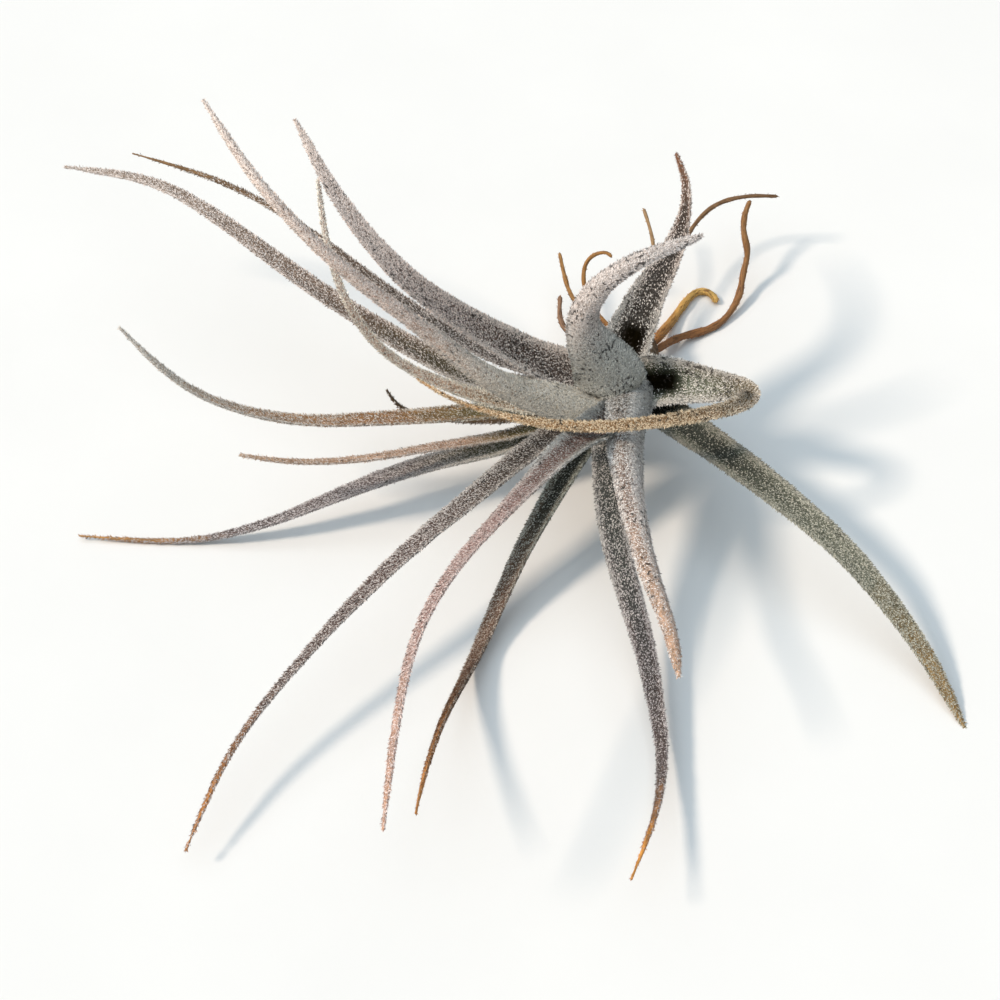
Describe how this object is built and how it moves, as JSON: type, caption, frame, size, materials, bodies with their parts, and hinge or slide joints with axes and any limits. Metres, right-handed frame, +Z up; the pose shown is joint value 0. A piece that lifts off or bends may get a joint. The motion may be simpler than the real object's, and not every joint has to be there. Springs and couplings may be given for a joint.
{
  "type": "air plant",
  "caption": "Small air plant lying on its side: narrow channelled grey leaves taper and arch out of a short stem that ends in wiry roots.",
  "frame": {"origin": "on the surface that the plant rests on, under the middle of its bounding box", "axes": "+Z up from that surface; +X along the longest reach of the leaves, to the right; +Y towards the root end of the stem"},
  "size_m": [0.096, 0.0908, 0.044],
  "materials": {
    "leaf_right_folded": "matt felt of pale scales over a channelled leaf, drier and browner at the tip",
    "leaf_top_arched": "matt felt of pale scales over a channelled leaf, drier and browner at the tip",
    "leaf_upper_pale": "matt felt of pale scales over a channelled leaf, drier and browner at the tip",
    "leaf_front_rosy": "matt felt of pale scales over a channelled leaf, drier and browner at the tip",
    "leaf_front_white": "matt felt of pale scales over a channelled leaf, drier and browner at the tip",
    "leaf_upper_broad": "matt felt of pale scales over a channelled leaf, drier and browner at the tip",
    "leaf_twisted": "matt felt of pale scales over a channelled leaf, drier and browner at the tip",
    "leaf_top_channelled": "matt felt of pale scales over a channelled leaf, drier and browner at the tip",
    "leaf_front_dark": "matt felt of pale scales over a channelled leaf, drier and browner at the tip",
    "leaf_front_left": "matt felt of pale scales over a channelled leaf, drier and browner at the tip",
    "leaf_right_long": "matt felt of pale scales over a channelled leaf, drier and browner at the tip",
    "leaf_upper_thin": "matt felt of pale scales over a channelled leaf, drier and browner at the tip",
    "leaf_left_curved": "matt felt of pale scales over a channelled leaf, drier and browner at the tip",
    "leaf_far_left": "matt felt of pale scales over a channelled leaf, drier and browner at the tip",
    "leaf_front_olive": "matt felt of pale scales over a channelled leaf, drier and browner at the tip",
    "leaf_left_slender": "matt felt of pale scales over a channelled leaf, drier and browner at the tip",
    "leaf_left_low": "matt felt of pale scales over a channelled leaf, drier and browner at the tip",
    "leaf_left_short": "matt felt of pale scales over a channelled leaf, drier and browner at the tip",
    "root_far": "dry wiry bark",
    "root_curled": "dry wiry bark",
    "root_looped": "dry wiry bark",
    "root_left": "dry wiry bark",
    "root_hooked": "dry wiry bark",
    "root_short": "dry wiry bark",
    "root_pale": "dry wiry bark",
    "stem": "dry brown stem wrapped in old leaf bases"
  },
  "bodies": {
    "root": {"leaf_right_folded": "leaf_right_folded", "leaf_top_arched": "leaf_top_arched", "leaf_upper_pale": "leaf_upper_pale", "leaf_front_rosy": "leaf_front_rosy", "leaf_front_white": "leaf_front_white", "leaf_upper_broad": "leaf_upper_broad", "leaf_twisted": "leaf_twisted", "leaf_top_channelled": "leaf_top_channelled", "leaf_front_dark": "leaf_front_dark", "leaf_front_left": "leaf_front_left", "leaf_right_long": "leaf_right_long", "leaf_upper_thin": "leaf_upper_thin", "leaf_left_curved": "leaf_left_curved", "leaf_far_left": "leaf_far_left", "leaf_front_olive": "leaf_front_olive", "leaf_left_slender": "leaf_left_slender", "leaf_left_low": "leaf_left_low", "leaf_left_short": "leaf_left_short", "root_far": "root_far", "root_curled": "root_curled", "root_looped": "root_looped", "root_left": "root_left", "root_hooked": "root_hooked", "root_short": "root_short", "root_pale": "root_pale", "stem": "stem"}
  },
  "joints": []
}
